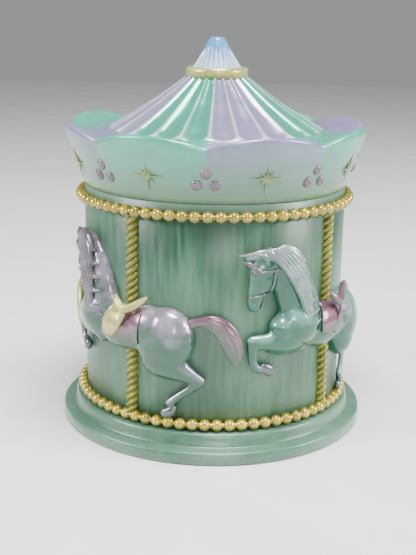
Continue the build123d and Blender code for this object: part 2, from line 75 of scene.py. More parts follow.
DRUM_R = node_box("drum_shell")[1].x
DRUM_FOOT, DRUM_TOP = (corner.z for corner in node_box("drum_shell"))
FLANGE_R = node_box("base_plinth")[1].x
LOWER_BEADS = sum(corner.z for corner in node_box("lower_bead_ring")) / 2
UPPER_BEADS = sum(corner.z for corner in node_box("upper_bead_ring")) / 2
ROOF_TIP = node_box("roof_spire")[1].z
POLE_ANGLES = {"front_left": -35.2, "front_right": 54.8, "back_right": 144.8, "back_left": -125.2}
SCALLOPS = 8
FLUTES = 24
FIRST_VALLEY = -3.4  # degrees from the front, growing to the right
print(f"drum {2 * DRUM_R:.1f} across and {DRUM_TOP - DRUM_FOOT:.1f} tall, roof tip at {ROOF_TIP:.1f}")


# %% [markdown]
# ## Camera and stage
#
# The camera stands where the viewer stood: a little above the roof, looking down by fifteen
# degrees. It comes first, so that every later step can be rendered and judged. The floor is
# one wide, flat, pale sheet, and four softboxes light the box evenly, as in a product studio.

# %% Camera
CAMERA_PLACE = Vector((0, -0.3671, 0.1465))
PAN, TILT_DOWN, ROLL = 0.0053, 0.2587, 0.0164  # radians

camera = bpy.data.objects.new("camera", bpy.data.cameras.new("camera"))
bpy.context.collection.objects.link(camera)
aim = Matrix.Rotation(PAN, 4, "Z") @ Matrix.Rotation(math.pi / 2 - TILT_DOWN, 4, "X")
camera.matrix_world = Matrix.Translation(CAMERA_PLACE) @ aim @ Matrix.Rotation(ROLL, 4, "Z")
camera.data.sensor_width = 36
camera.data.lens = 67.55
camera.data.clip_start = 0.01
bpy.context.scene.camera = camera
print(f"camera looks {math.degrees(TILT_DOWN):.1f} degrees down from {CAMERA_PLACE.length:.3f} m")

# %% Floor
FLOOR_REACH = 1.6  # metres from the box to the edge of the sheet

sheet = bmesh.new()
bmesh.ops.create_grid(sheet, x_segments=1, y_segments=1, size=FLOOR_REACH)
floor_mesh = bpy.data.meshes.new("floor")
sheet.to_mesh(floor_mesh)
sheet.free()
floor = bpy.data.objects.new("floor", floor_mesh)
bpy.context.collection.objects.link(floor)
print(f"floor {2 * FLOOR_REACH:.1f} m wide")


# %% Lights
DRUM_MIDDLE = Vector((0, 0, 0.06))


def softbox(name, place, width, power):
    """A large white area light that looks at the middle of the drum."""
    light = bpy.data.lights.new(name, "AREA")
    light.size, light.energy = width, power
    lamp = bpy.data.objects.new(name, light)
    lamp.location = place
    aim = DRUM_MIDDLE - Vector(place)
    lamp.rotation_euler = aim.to_track_quat("-Z", "Y").to_euler()
    bpy.context.collection.objects.link(lamp)


softbox("light_top", (0.05, -0.15, 0.75), 0.30, 11.0)
softbox("light_left", (-0.65, -0.20, 0.40), 0.30, 6.5)
softbox("light_right", (0.65, -0.15, 0.35), 0.30, 6.5)
softbox("light_front", (0.10, -0.85, 0.30), 0.20, 1.6)
world = bpy.data.worlds.new("studio")
world.use_nodes = True
room = world.node_tree.nodes["Background"]
room.inputs["Color"].default_value = (0.80, 0.84, 0.82, 1)
room.inputs["Strength"].default_value = 0.40
bpy.context.scene.world = world
print("four softboxes and a pale room")


# %% [markdown]
# ## A bench for paints
#
# Each finish is a Principled shader, and most need the same few helpers: a noise, a ramp
# between two colours, and a bump. Colours are written as they look on screen, and `linear`
# turns them into the linear light that the shader adds up. All patterns read Object
# coordinates, in metres, so that they stay fixed to a piece when it moves.

# %% Paint helpers
def linear(red, green, blue):
    """Screen colour, 0 to 255, as linear light."""
    def one(value):
        value /= 255
        return value / 12.92 if value <= 0.04045 else ((value + 0.055) / 1.055) ** 2.4
    return (one(red), one(green), one(blue), 1.0)


def darker(colour, share):
    """A screen colour with every channel cut to a share of itself, as linear light."""
    return linear(*(channel * share for channel in colour))


class Paint:
    """A material with one Principled shader and shorthand for the nodes before it."""

    def __init__(self, name, **sockets):
        self.material = bpy.data.materials.new(name)
        self.material.use_nodes = True
        self.tree = self.material.node_tree
        self.shader = self.tree.nodes["Principled BSDF"]
        for socket, value in sockets.items():
            self.shader.inputs[socket.replace("_", " ")].default_value = value
        self.coordinates = self.tree.nodes.new("ShaderNodeTexCoord").outputs["Object"]

    def link(self, source, target):
        self.tree.links.new(source, target)

    def mapped(self, scale):
        """Object coordinates stretched by scale, such as for streaks."""
        node = self.tree.nodes.new("ShaderNodeMapping")
        node.inputs["Scale"].default_value = scale
        self.link(self.coordinates, node.inputs["Vector"])
        return node.outputs["Vector"]

    def noise(self, scale, detail=3.0, stretch=(1, 1, 1)):
        node = self.tree.nodes.new("ShaderNodeTexNoise")
        node.inputs["Scale"].default_value = scale
        node.inputs["Detail"].default_value = detail
        self.link(self.mapped(stretch), node.inputs["Vector"])
        return node.outputs["Fac"]

    def span(self, value, low, high, to_low=0.0, to_high=1.0):
        """Maps low..high smoothly to to_low..to_high."""
        node = self.tree.nodes.new("ShaderNodeMapRange")
        node.interpolation_type = "SMOOTHSTEP"
        self.link(value, node.inputs["Value"])
        limits = {"From Min": low, "From Max": high, "To Min": to_low, "To Max": to_high}
        for socket, number in limits.items():
            node.inputs[socket].default_value = number
        return node.outputs["Result"]

    def sum(self, first, second, operation="ADD"):
        node = self.tree.nodes.new("ShaderNodeMath")
        node.operation = operation
        for socket, value in zip(node.inputs, (first, second)):
            if isinstance(value, (int, float)):
                socket.default_value = value
            else:
                self.link(value, socket)
        return node.outputs[0]

    def mix(self, factor, first, second):
        """Colour between first and second; each is a colour or a socket."""
        node = self.tree.nodes.new("ShaderNodeMix")
        node.data_type = "RGBA"
        self.link(factor, node.inputs["Factor"])
        for socket, value in ((node.inputs[6], first), (node.inputs[7], second)):  # the colour A and B
            if isinstance(value, tuple):
                socket.default_value = value
            else:
                self.link(value, socket)
        return node.outputs[2]

    def height(self):
        """Height above the floor, in metres."""
        node = self.tree.nodes.new("ShaderNodeSeparateXYZ")
        self.link(self.coordinates, node.inputs[0])
        return node.outputs["Z"]

    def edge(self):
        """The "edge" value that a mesh carries: 1 on a ridge, 0 in a hollow."""
        node = self.tree.nodes.new("ShaderNodeAttribute")
        node.attribute_name = "edge"
        return node.outputs["Fac"]

    def facing_up(self):
        """1 where the surface looks up, -1 where it looks down."""
        geometry = self.tree.nodes.new("ShaderNodeNewGeometry")
        node = self.tree.nodes.new("ShaderNodeSeparateXYZ")
        self.link(geometry.outputs["Normal"], node.inputs[0])
        return node.outputs["Z"]

    def colour(self, socket):
        self.link(socket, self.shader.inputs["Base Color"])

    def bump(self, value, strength, depth=0.0003):
        node = self.tree.nodes.new("ShaderNodeBump")
        node.inputs["Strength"].default_value = strength
        node.inputs["Distance"].default_value = depth
        self.link(value, node.inputs["Height"])
        self.link(node.outputs["Normal"], self.shader.inputs["Normal"])


print("paint helpers ready")


# %% [markdown]
# ## Frosted resin
#
# The drum and the base are cast in clear resin with a frosted skin. Light goes in, scatters
# and comes out softened, and the mould has left faint upright streaks. The shader mixes
# transmission with a rough surface, and a noise squeezed sideways and stretched upwards
# gives the streaks in both the colour and the roughness. Above the upper beads the drum
# looks paler, so a second mix reads the height.

# %% Frosted resin
LIP_GREEN = (112, 150, 124)
LIP_START, LIP_FULL = 0.0815, 0.0850  # metres above the floor


def frosted_resin(name, dark, pale, streaks=True, gloss=0.25):
    paint = Paint(name, Roughness=0.42, IOR=1.47, Transmission_Weight=0.22, Subsurface_Weight=0.5,
                  Subsurface_Scale=0.005, Coat_Weight=gloss, Coat_Roughness=0.22, Sheen_Weight=0.2,
                  Sheen_Roughness=0.35)
    paint.shader.inputs["Subsurface Radius"].default_value = (0.8, 1.0, 0.9)
    stretch = (1, 1, 0.10) if streaks else (1, 1, 1)
    broad = paint.noise(120, 2.0, stretch)
    fine = paint.noise(650, 4.0, stretch)
    cloud = paint.noise(34, 2.0)
    tone = paint.sum(paint.sum(broad, fine, "MULTIPLY"), cloud)
    tint = paint.mix(paint.span(tone, 0.50, 1.05), linear(*dark), linear(*pale))
    paint.colour(paint.mix(paint.span(paint.height(), LIP_START, LIP_FULL), tint, linear(*LIP_GREEN)))
    paint.link(paint.span(fine, 0.3, 0.7, 0.34, 0.52), paint.shader.inputs["Roughness"])
    paint.bump(fine, 0.18, 0.0002)
    return paint.material


RESIN = frosted_resin("frosted_resin", (36, 82, 58), (92, 138, 110))
BASE_RESIN = frosted_resin("frosted_base", (66, 114, 88), (98, 144, 118), streaks=False, gloss=0.8)
print("resin:", RESIN.name, BASE_RESIN.name)


# %% [markdown]
# ## Pearl paints
#
# The figures and the roof are sprayed with pearl lacquer: a thin colour with mica in it, so
# it is a little metallic and has a clear gloss over it. Light and shade are painted in as well:
# the upper faces keep the bright colour, and the undersides get a darker, greener colour that
# stands for shade and for a reflection of the surface below. The shader mixes the two by how
# much a face looks up, with a noise to break the edge of the painted shade.

# %% Pearl paints
def pearl(name, colour, shaded_under=None, metal=0.45, rough=0.26, low=-0.35, high=0.45):
    paint = Paint(name, Metallic=metal, Roughness=rough, Coat_Weight=0.6, Coat_Roughness=0.12)
    flakes = paint.noise(2600, 2.0)
    cloud = paint.noise(160, 3.0)
    bright = linear(*colour)
    shade = darker(colour, 0.84)
    tone = paint.mix(paint.span(cloud, 0.35, 0.65), shade, bright)
    if shaded_under is not None:
        # Faces that look down take the second colour: painted shade and a painted reflection of the surface
        # below.
        lit_mask = paint.sum(paint.facing_up(), paint.span(cloud, 0.2, 0.8, -0.12, 0.12))
        lit_share = paint.span(lit_mask, low, high)
        tone = paint.mix(lit_share, linear(*shaded_under), tone)
        paint.link(paint.span(lit_share, 0.0, 1.0, metal * 0.25, metal), paint.shader.inputs["Metallic"])
    paint.colour(tone)
    paint.link(paint.span(flakes, 0.3, 0.7, rough - 0.05, rough + 0.08), paint.shader.inputs["Roughness"])
    paint.bump(cloud, 0.05, 0.0002)
    return paint.material


# In each paint below, the second colour is painted shade and a painted reflection on the faces that look
# down.
GOLD = pearl("gold_pearl", (214, 190, 74), shaded_under=(102, 98, 24), metal=0.62, rough=0.22, low=-0.7, high=0.5)
GOLD_ROPE = pearl("gold_rope", (138, 136, 42), shaded_under=(112, 116, 34), metal=0.30, rough=0.38)
HOOF = pearl("hoof_silver", (120, 122, 126), shaded_under=(66, 80, 74), metal=0.7, rough=0.28)
LILAC_SILVER = pearl("lilac_silver", (198, 184, 206), shaded_under=(34, 80, 62), metal=0.62, rough=0.20,
                     low=-0.05, high=0.60)
MAUVE = pearl("mauve_pearl", (158, 112, 134), shaded_under=(74, 84, 76), metal=0.6, rough=0.22, low=-0.2, high=0.5)
SMOKE = pearl("smoke_pearl", (146, 128, 144), shaded_under=(62, 72, 70), metal=0.65, rough=0.22, low=-0.2, high=0.6)
AQUA = pearl("aqua_pearl", (150, 202, 192), shaded_under=(18, 88, 64), metal=0.45, rough=0.18, low=-0.05, high=0.75)
SILVER_MANE = pearl("silver_mane", (200, 202, 212), shaded_under=(76, 108, 98), metal=0.6, rough=0.22,
                    low=-0.2, high=0.6)
PALE_GOLD = pearl("pale_gold", (216, 208, 138), shaded_under=(168, 166, 84), metal=0.5, rough=0.28)
BLUE = pearl("blue_pearl", (128, 172, 206), shaded_under=(66, 122, 138), metal=0.35, rough=0.22)
ROSE = pearl("rose_pearl", (218, 176, 186), shaded_under=(140, 122, 116), metal=0.4, rough=0.24)
BERRY = pearl("berry_mauve", (144, 120, 138), shaded_under=(94, 82, 92), metal=0.35, rough=0.30)
print("twelve pearl paints")


# %% [markdown]
# ## Finishing a piece
#
# Every piece ends the same way: its mesh shrinks from millimetres to metres, gets its paint
# and smooth shading, rides on a body and hides the CAD nodes it replaces. One function
# does it, so no piece can forget a step.

# %% Finish a piece
def finish_piece(name, shape, body, paints, replaces):
    bmesh.ops.scale(shape, vec=(MM, MM, MM), verts=shape.verts)
    mesh = bpy.data.meshes.new(name)
    shape.to_mesh(mesh)
    shape.free()
    for polygon in mesh.polygons:
        polygon.use_smooth = True
    piece = bpy.data.objects.new(name, mesh)
    bpy.context.collection.objects.link(piece)
    for paint in paints:
        mesh.materials.append(paint)
    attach(piece, body)
    if replaces:
        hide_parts(*replaces)


def pattern(build, **sizes):
    """A small mesh to be stamped many times, built by one bmesh operator."""
    shape = bmesh.new()
    build(shape, **sizes)
    mesh = bpy.data.meshes.new("pattern")
    shape.to_mesh(mesh)
    shape.free()
    return mesh


def stamp(shape, mesh, matrix):
    """Adds a copy of a pattern to a shape, quicker than an operator on a growing shape."""
    copy = mesh.copy()
    copy.transform(matrix)
    shape.from_mesh(copy)
    bpy.data.meshes.remove(copy)


def round_drum(angle, radius, height):
    """Matrix that puts local X along the drum's wall, local Y up and local Z outwards."""
    turn = Matrix.Rotation(math.radians(angle), 4, "Z")
    stand = Matrix.Rotation(math.radians(90), 4, "X")
    return turn @ Matrix.Translation((0, -radius, height)) @ stand


def spun(profile, steps):
    """Turns a closed (radius, height) profile round the upright axis, as on a lathe."""
    shape = bmesh.new()
    turn = math.radians(FIRST_VALLEY)
    corners = [shape.verts.new((r * math.sin(turn), -r * math.cos(turn), z)) for r, z in profile]
    edges = [shape.edges.new((a, b)) for a, b in zip(corners, corners[1:] + corners[:1])]
    bmesh.ops.spin(shape, geom=corners + edges, axis=(0, 0, 1), cent=(0, 0, 0), angle=math.tau,
                   steps=steps, use_merge=True)
    bmesh.ops.remove_doubles(shape, verts=shape.verts, dist=0.0005)
    bmesh.ops.recalc_face_normals(shape, faces=shape.faces)
    return shape


def angle_at(point):
    """Degrees round the box from the first valley, growing to the right."""
    return (math.degrees(math.atan2(point.x, -point.y)) - FIRST_VALLEY) % 360


def from_middle(angle, count):
    """Where an angle lies in one of count equal shares of the ring: -1, 0 in the middle, 1."""
    return (angle % (360 / count)) / (180 / count) - 1


def paint_scallops(shape):
    """Gives the faces of every second scallop the second paint."""
    for face in shape.faces:
        scallop = int(angle_at(face.calc_center_median()) / (360 / SCALLOPS))
        face.material_index = scallop % 2


print("bench ready")


# %% [markdown]
# ## Drum and base
#
# The drum is a plain tube and the base is a turned ring, so both are lathe work: a closed
# profile is spun round the upright axis. The corners of the profile carry a small second
# point on each side, which keeps the edge crisp under smooth shading, as a light bevel does.

# %% Drum and base
def softened(points, reach=0.25):
    """Replaces every corner of a closed profile by two points, reach away from it."""
    soft = []
    for index, corner in enumerate(points):
        here = Vector(corner)
        for other in (points[index - 1], points[(index + 1) % len(points)]):
            away = Vector(other) - here
            soft.append(tuple(here + away.normalized() * min(reach, away.length / 3)))
    return soft


WALL_THICK = 2.8
DRUM_STEPS = 192
bore = DRUM_R - WALL_THICK
tube = [(bore, DRUM_FOOT), (DRUM_R, DRUM_FOOT), (DRUM_R, DRUM_TOP), (bore, DRUM_TOP)]
wall = spun(softened(tube), DRUM_STEPS)
finish_piece("drum_wall", wall, "base", [RESIN], ["drum_shell"])

flange_top = 4.45
plinth = [
    (41.0, 0), (FLANGE_R, 0), (FLANGE_R, flange_top), (50.25, flange_top + 0.15), (49.9, 8.2),
    (49.2, DRUM_FOOT), (bore - 0.1, DRUM_FOOT), (bore - 0.1, 15.0), (37.5, 15.0), (37.5, 13.0), (41.0, 13.0),
]
base_ring = spun(softened(plinth, 0.5), DRUM_STEPS)
finish_piece("base_ring", base_ring, "base", [BASE_RESIN], ["base_plinth"])
print("drum wall and base ring turned")


# %% [markdown]
# ## Strings of beads
#
# Two strings of half-sunk gold beads run round the drum. Seventy-two copies of a sphere with few
# faces are enough, because each is only four millimetres across, and a thin cord joins them.

# %% Bead strings
BEADS = 72
BEAD_R = 2.03
BEAD_RING_R = DRUM_R + 1.13
THREAD_R = 0.9


def bead_string(height):
    shape = bmesh.new()
    bead = pattern(bmesh.ops.create_uvsphere, u_segments=16, v_segments=10, radius=BEAD_R)
    for index in range(BEADS):
        stamp(shape, bead, round_drum((index + 0.5) * 360 / BEADS, BEAD_RING_R, height))
    turns = [corner * math.tau / 8 for corner in range(8)]
    section = [(BEAD_RING_R + THREAD_R * math.cos(t), height + THREAD_R * math.sin(t)) for t in turns]
    thread = spun(section, 2 * BEADS)
    mesh = bpy.data.meshes.new("thread")
    thread.to_mesh(mesh)
    thread.free()
    shape.from_mesh(mesh)
    bpy.data.meshes.remove(mesh)
    return shape


finish_piece("lower_beads", bead_string(LOWER_BEADS), "base", [GOLD], ["lower_bead_ring"])
finish_piece("upper_beads", bead_string(UPPER_BEADS), "base", [GOLD], ["upper_bead_ring"])
print(2 * BEADS, "beads strung")


# %% [markdown]
# ## Rope-twist poles
#
# Each pole is three round strands twisted together. A circle set off the axis is spun round
# it while it climbs, which draws one strand, and two more start a third of a turn on. The
# pole runs behind the horse, from one bead string to the other.

# %% Poles
STRAND_R = 1.34
STRAND_OFFSET = 1.08  # from the rope's axis to a strand's
ROPE_LAY = 7.2  # height of one full turn
LAY_STEPS = 18
ROPE_GAP = 1.2  # between a rope's end and the middle of a bead string


def rope(bottom, top):
    shape = bmesh.new()
    length = top - bottom
    for strand in range(3):
        turn = Matrix.Rotation(strand * math.tau / 3, 4, "Z")
        place = turn @ Matrix.Translation((STRAND_OFFSET, 0, bottom))
        ring = bmesh.ops.create_circle(shape, segments=14, radius=STRAND_R, matrix=place)
        edges = list({edge for vertex in ring["verts"] for edge in vertex.link_edges})
        steps = int(length / ROPE_LAY * LAY_STEPS)
        bmesh.ops.spin(shape, geom=ring["verts"] + edges, axis=(0, 0, 1), cent=(0, 0, 0),
                       dvec=(0, 0, length / steps), angle=math.tau * length / ROPE_LAY, steps=steps)
    bmesh.ops.holes_fill(shape, edges=[edge for edge in shape.edges if edge.is_boundary])
    bmesh.ops.recalc_face_normals(shape, faces=shape.faces)
    return shape


twist = rope(LOWER_BEADS + ROPE_GAP, UPPER_BEADS - ROPE_GAP)
bmesh.ops.translate(twist, vec=(0, -DRUM_R + 0.1, 0), verts=twist.verts)
for corner, angle in POLE_ANGLES.items():
    shape = twist.copy()
    bmesh.ops.rotate(shape, matrix=Matrix.Rotation(math.radians(angle), 3, "Z"), verts=shape.verts)
    finish_piece(f"rope_{corner}", shape, "base", [GOLD_ROPE], [f"pole_{corner}"])
print("four rope poles")


# %% [markdown]
# ## Clay for the horses
#
# A horse in relief has no flat face and no edge to bevel, so it is built as a sculptor builds
# it: dabs and rolls of clay pressed together, then smoothed. A dab is a stretched sphere. A
# roll is a row of dabs along a curve. A voxel remesh welds them into one skin, and a smooth
# pass takes the joints away.
#
# The clay is worked flat, with X along the wall, Z up and depth towards the viewer, and only
# then bent round the drum. Places along the wall are written in degrees from the horse's own
# pole, because that is how they are measured on a round box.

# %% Clay tools
BEND_R = DRUM_R + 1.5  # radius on which widths stay true
ARC = math.radians(1) * BEND_R  # millimetres of wall in one degree
PRESSED = -0.12  # depth at which clay behind the wall is cut flat
CLAY_BALL = pattern(bmesh.ops.create_uvsphere, u_segments=18, v_segments=12, radius=1)
HAIR_BALL = pattern(bmesh.ops.create_uvsphere, u_segments=10, v_segments=7, radius=1)


def dab(clay, degrees, height, depth, along, high, deep, tilt=0.0):
    """One ball of clay, stretched along the wall, upwards and outwards."""
    place = Matrix.Translation((degrees * ARC, -depth, height))
    turn = Matrix.Rotation(math.radians(tilt), 4, "Y")
    stamp(clay, CLAY_BALL, place @ turn @ Matrix.Diagonal((along, deep, high, 1)))


def smooth_path(points, count):
    """Catmull-Rom curve through points of any dimension, as count + 1 samples."""
    knots = [Vector(point) for point in points]
    knots = [2 * knots[0] - knots[1], *knots, 2 * knots[-1] - knots[-2]]
    samples = []
    for index in range(count + 1):
        place = index / count * (len(points) - 1)
        start = min(int(place), len(points) - 2)
        t = place - start
        a, b, c, d = knots[start:start + 4]
        square = (2 * a - 5 * b + 4 * c - d) * t ** 2
        cube = (3 * b - a - 3 * c + d) * t ** 3
        samples.append((2 * b + (c - a) * t + square + cube) / 2)
    return samples


def roll(clay, points, flat=0.7, spacing=0.4, ball=CLAY_BALL):
    """Row of dabs along (degrees, height, depth, radius) points."""
    length = sum(math.hypot((b[0] - a[0]) * ARC, b[1] - a[1]) for a, b in zip(points, points[1:]))
    usual_radius = sum(point[3] for point in points) / len(points)
    count = max(4, int(length / (usual_radius * spacing)))
    for degrees, height, depth, radius in smooth_path(points, count):
        place = Matrix.Translation((degrees * ARC, -depth, height))
        stamp(clay, ball, place @ Matrix.Diagonal((radius, radius * flat, radius, 1)))


def fired(clay, voxel, passes):
    """Welds the clay into one skin and rubs it smooth."""
    mesh = bpy.data.meshes.new("clay")
    clay.to_mesh(mesh)
    clay.free()
    lump = bpy.data.objects.new("clay", mesh)
    bpy.context.collection.objects.link(lump)
    weld = lump.modifiers.new("weld", "REMESH")
    weld.mode, weld.voxel_size = "VOXEL", voxel
    rub = lump.modifiers.new("rub", "SMOOTH")
    rub.factor, rub.iterations = 0.5, passes
    skin = bmesh.new()
    skin.from_object(lump, bpy.context.evaluated_depsgraph_get())
    bpy.data.objects.remove(lump)
    return skin


def bent(skin, angle):
    """Bends flat clay round the drum, at the pole's angle."""
    for vertex in skin.verts:
        depth = max(-vertex.co.y, PRESSED)
        turn = math.radians(angle) + vertex.co.x / BEND_R
        radius = DRUM_R + depth
        vertex.co = (radius * math.sin(turn), -radius * math.cos(turn), vertex.co.z)
    return skin


print(f"one degree of wall is {ARC:.2f} mm")


# %% [markdown]
# ## The horse's body
#
# The horse runs to the left with its neck arched and its chin tucked in. Big dabs set the
# rump, barrel and shoulder; rolls draw the neck, head and legs down to the fetlocks. The
# rump and the chest stand seven millimetres proud, the head and the lower legs only two or
# three, which is what makes a low relief read as round.

# %% Body clay
NECK = [(-16.5, 48.5, 0.3, 8.4), (-19.6, 55.0, 0.3, 8.0), (-22.8, 61.0, 0.2, 7.0), (-27.0, 66.0, 0.2, 5.0)]
HEAD = [(-30.0, 66.0, 0.6, 4.4), (-34.8, 63.4, 0.8, 4.4), (-36.9, 58.2, 0.9, 3.4), (-38.2, 52.8, 0.9, 2.5)]
LEGS = [  # each is one roll, from the body to the fetlock
    [(-18.5, 41.0, 1.4, 5.4), (-24.5, 39.6, 1.8, 4.2), (-32.0, 39.6, 1.8, 3.0), (-38.8, 39.8, 1.6, 2.3)],
    [(-38.8, 39.6, 1.6, 2.2), (-38.8, 35.8, 1.5, 1.6), (-38.2, 32.0, 1.5, 1.5), (-35.8, 30.2, 1.5, 1.4)],
    [(-17.0, 38.0, 0.6, 4.2), (-25.5, 37.6, 0.7, 3.0), (-31.6, 37.6, 0.8, 2.1)],
    [(-31.4, 37.2, 0.8, 1.8), (-26.5, 35.4, 0.7, 1.5), (-20.0, 35.4, 0.6, 1.8)],
    [(15.0, 34.0, 1.4, 7.2), (20.5, 31.0, 1.8, 4.6), (26.0, 28.6, 1.8, 2.8), (30.4, 26.5, 1.6, 2.1)],
    [(30.4, 26.4, 1.6, 2.0), (26.2, 23.4, 1.5, 1.5), (21.6, 20.6, 1.5, 1.4), (18.4, 18.2, 1.5, 1.6)],
    [(18.4, 18.2, 1.5, 1.5), (19.4, 16.4, 1.5, 1.3)],
]
HOOVES = [
    [(-35.6, 30.2, 1.4, 1.4), (-33.6, 30.6, 1.4, 1.8), (-31.4, 29.6, 1.4, 2.1)],
    [(19.8, 16.6, 1.5, 1.3), (18.6, 15.3, 1.7, 1.7), (16.8, 14.6, 1.7, 1.8)],
]


def body_clay():
    clay = bmesh.new()
    dab(clay, 16.2, 39.6, 0.4, 10.4, 11.4, 7.0, tilt=14)  # rump
    dab(clay, 10.5, 43.2, 0.2, 9.8, 7.4, 6.4, tilt=10)  # croup
    dab(clay, -2.0, 41.8, 0.0, 14.5, 8.0, 5.8)  # barrel
    dab(clay, -18.5, 44.8, 0.4, 8.4, 8.6, 7.0, tilt=-20)  # shoulder
    dab(clay, -25.8, 43.8, 0.8, 4.8, 4.6, 5.0)  # breast
    roll(clay, NECK, flat=0.62)
    roll(clay, HEAD, flat=0.66)
    dab(clay, -32.9, 60.4, 1.0, 3.5, 4.2, 3.0)  # cheek
    dab(clay, -38.4, 51.8, 1.0, 2.2, 1.9, 2.0)  # muzzle
    dab(clay, -38.6, 63.6, 2.4, 1.0, 0.8, 0.9)  # brow
    roll(clay, [(-31.5, 68.4, 2.0, 1.2), (-32.8, 70.4, 2.2, 0.8), (-33.6, 71.6, 2.2, 0.4)])  # ear
    return clay


clay = body_clay()
for leg in LEGS:
    roll(clay, leg)
BODY_SKIN = fired(clay, 0.42, 14)
hooves = bmesh.new()
for hoof in HOOVES:
    roll(hooves, hoof)
HOOF_SKIN = fired(hooves, 0.35, 3)
print("body skin:", len(BODY_SKIN.faces), "faces")


# %% [markdown]
# ## Mane and tail
#
# Hair on a carved horse is a set of locks, each thick in the middle and pointed at the tip.
# Every lock is one thin roll, and a fine voxel keeps the grooves between them. The mane's
# locks lie side by side from the crest down the neck; the forelock blows forward.

# %% Hair clay
def between(low, high, share):
    return low + (high - low) * share


CREST_LINE = [
    (-27.0, 71.6), (-22.6, 70.4), (-18.8, 66.8), (-15.8, 62.6), (-13.4, 58.5), (-11.4, 54.5), (-9.6, 50.5),
    (-8.0, 46.8),
]
MANE_LOCKS = 7


def lock_roll(clay, points, flat=0.8):
    """One lock of hair: a fine roll of small dabs."""
    roll(clay, points, flat=flat, spacing=0.35, ball=HAIR_BALL)


def mane_clay():
    clay = bmesh.new()
    for lock in range(MANE_LOCKS):  # the outer ones end first and flick their tips off the neck
        inward = 0.5 + 1.2 * lock
        follow = CREST_LINE[:min(lock + 3, len(CREST_LINE))]
        deepest = 6.0 - 2.4 * (1 - lock / (MANE_LOCKS - 1)) ** 2
        points = []
        for step, (degrees, height) in enumerate(follow):
            deep = min(3.0 + 0.75 * step, deepest)
            points.append((degrees - 1.12 * inward, height - 0.37 * inward, deep, 0.86))
        end = follow[-1]
        points.append((end[0] - 0.6 * inward + 1.4, end[1] - 1.2, deepest - 0.5, 0.3))
        lock_roll(clay, points, flat=0.95)
    for curl in range(5):  # short curls that lean forward over the poll
        start = -38.4 + 2.8 * curl
        top = 71.2 - 0.16 * (curl - 3) ** 2
        lock_roll(clay, [
            (start + 4.6, top - 4.4, 3.0, 0.5), (start + 3.6, top - 2.0, 3.3, 0.9),
            (start + 1.8, top - 0.6, 3.1, 0.95), (start - 0.8, top - 0.9, 2.6, 0.4),
        ])
    for rise, reach in ((0.0, -45.0), (-1.2, -42.4)):
        lock_roll(clay, [
            (-33.0, 70.2 + rise, 2.8, 0.9), (-37.0, 70.0 + rise, 2.8, 0.95),
            (-41.0, 69.2 + rise, 2.2, 0.7), (reach, 68.9 + rise, 1.6, 0.3),
        ])
    return clay


FORELOCK = [
    (-36.4, 63.0, 3.3, 0.7), (-38.6, 64.6, 3.3, 1.0), (-41.2, 66.2, 2.2, 0.9), (-43.4, 66.9, 1.4, 0.3),
]
TAIL_LINE = [
    (25.5, 45.6, 1.6), (30.0, 46.8, 1.8), (35.0, 46.8, 1.9), (39.4, 44.6, 2.0), (42.6, 40.4, 2.0),
    (44.4, 36.0, 1.8), (44.6, 32.4, 1.4),
]
TAIL_WIDTH = [1.6, 1.5, 2.3, 3.1, 3.3, 2.5, 1.0]
TAIL_LOCKS = 4


def tail_clay():
    clay = bmesh.new()
    spine = [Vector((degrees * ARC, height)) for degrees, height, _ in TAIL_LINE]
    for lock in range(TAIL_LOCKS):
        side = 2 * lock / (TAIL_LOCKS - 1) - 1  # -1 and 1 are the tail's edges
        points = []
        for index, (degrees, height, depth) in enumerate(TAIL_LINE):
            ahead = spine[min(index + 1, len(spine) - 1)] - spine[max(index - 1, 0)]
            aside = Vector((-ahead.y, ahead.x)).normalized() * side * TAIL_WIDTH[index] * 0.72
            crown = depth + 0.5 - 0.6 * side ** 2
            thick = 0.29 * TAIL_WIDTH[index] + 0.2
            points.append((degrees + aside.x / ARC, height + aside.y, crown, thick))
        lock_roll(clay, points, flat=0.95)
    return clay


MANE_SKIN = fired(mane_clay(), 0.27, 1)
forelock = bmesh.new()
lock_roll(forelock, FORELOCK, flat=0.7)
FORELOCK_SKIN = fired(forelock, 0.27, 1)
TAIL_SKIN = fired(tail_clay(), 0.30, 1)
print("mane skin:", len(MANE_SKIN.faces), "faces; tail skin:", len(TAIL_SKIN.faces), "faces")


# %% [markdown]
# ## Saddle, blanket and bridle
#
# Tack lies on the horse, so it is cut from the horse's own skin: a copy of the skin is
# trimmed to an outline with one bisecting plane for each side, and the patch that is left is
# thickened outwards. The edges come out clean and the patch fits the body exactly. The
# saddle's seat is a small roll of clay that dips between pommel and cantle.

# %% Tack
def patch(outline, thick):
    """The body's skin inside a convex outline of (degrees, height), thickened outwards."""
    skin = BODY_SKIN.copy()
    corners = [Vector((degrees * ARC, 0, height)) for degrees, height in outline]
    middle = sum(corners, Vector()) / len(corners)
    for start, end in zip(corners, corners[1:] + corners[:1]):
        outward = (end - start).cross(Vector((0, 1, 0)))
        if outward.dot(start - middle) < 0:
            outward.negate()
        bmesh.ops.bisect_plane(skin, geom=skin.verts[:] + skin.edges[:] + skin.faces[:], dist=0.0001,
                               plane_co=start, plane_no=outward, clear_outer=True)
    behind = [face for face in skin.faces if face.calc_center_median().y > 0.3 or face.normal.y > 0.1]
    bmesh.ops.delete(skin, geom=behind, context="FACES")
    bmesh.ops.recalc_face_normals(skin, faces=skin.faces)
    if skin.faces and sum(face.normal.y for face in skin.faces) > 0:
        bmesh.ops.reverse_faces(skin, faces=skin.faces)
    made = bmesh.ops.extrude_face_region(skin, geom=skin.faces[:])
    for vertex in made["geom"]:
        if isinstance(vertex, bmesh.types.BMVert):
            vertex.co.y -= thick
    bmesh.ops.recalc_face_normals(skin, faces=skin.faces)
    return skin


def joined(*skins):
    """One shape that holds a copy of each skin."""
    whole = bmesh.new()
    for skin in skins:
        mesh = bpy.data.meshes.new("part")
        skin.to_mesh(mesh)
        whole.from_mesh(mesh)
        bpy.data.meshes.remove(mesh)
    return whole


print("tack tools ready")

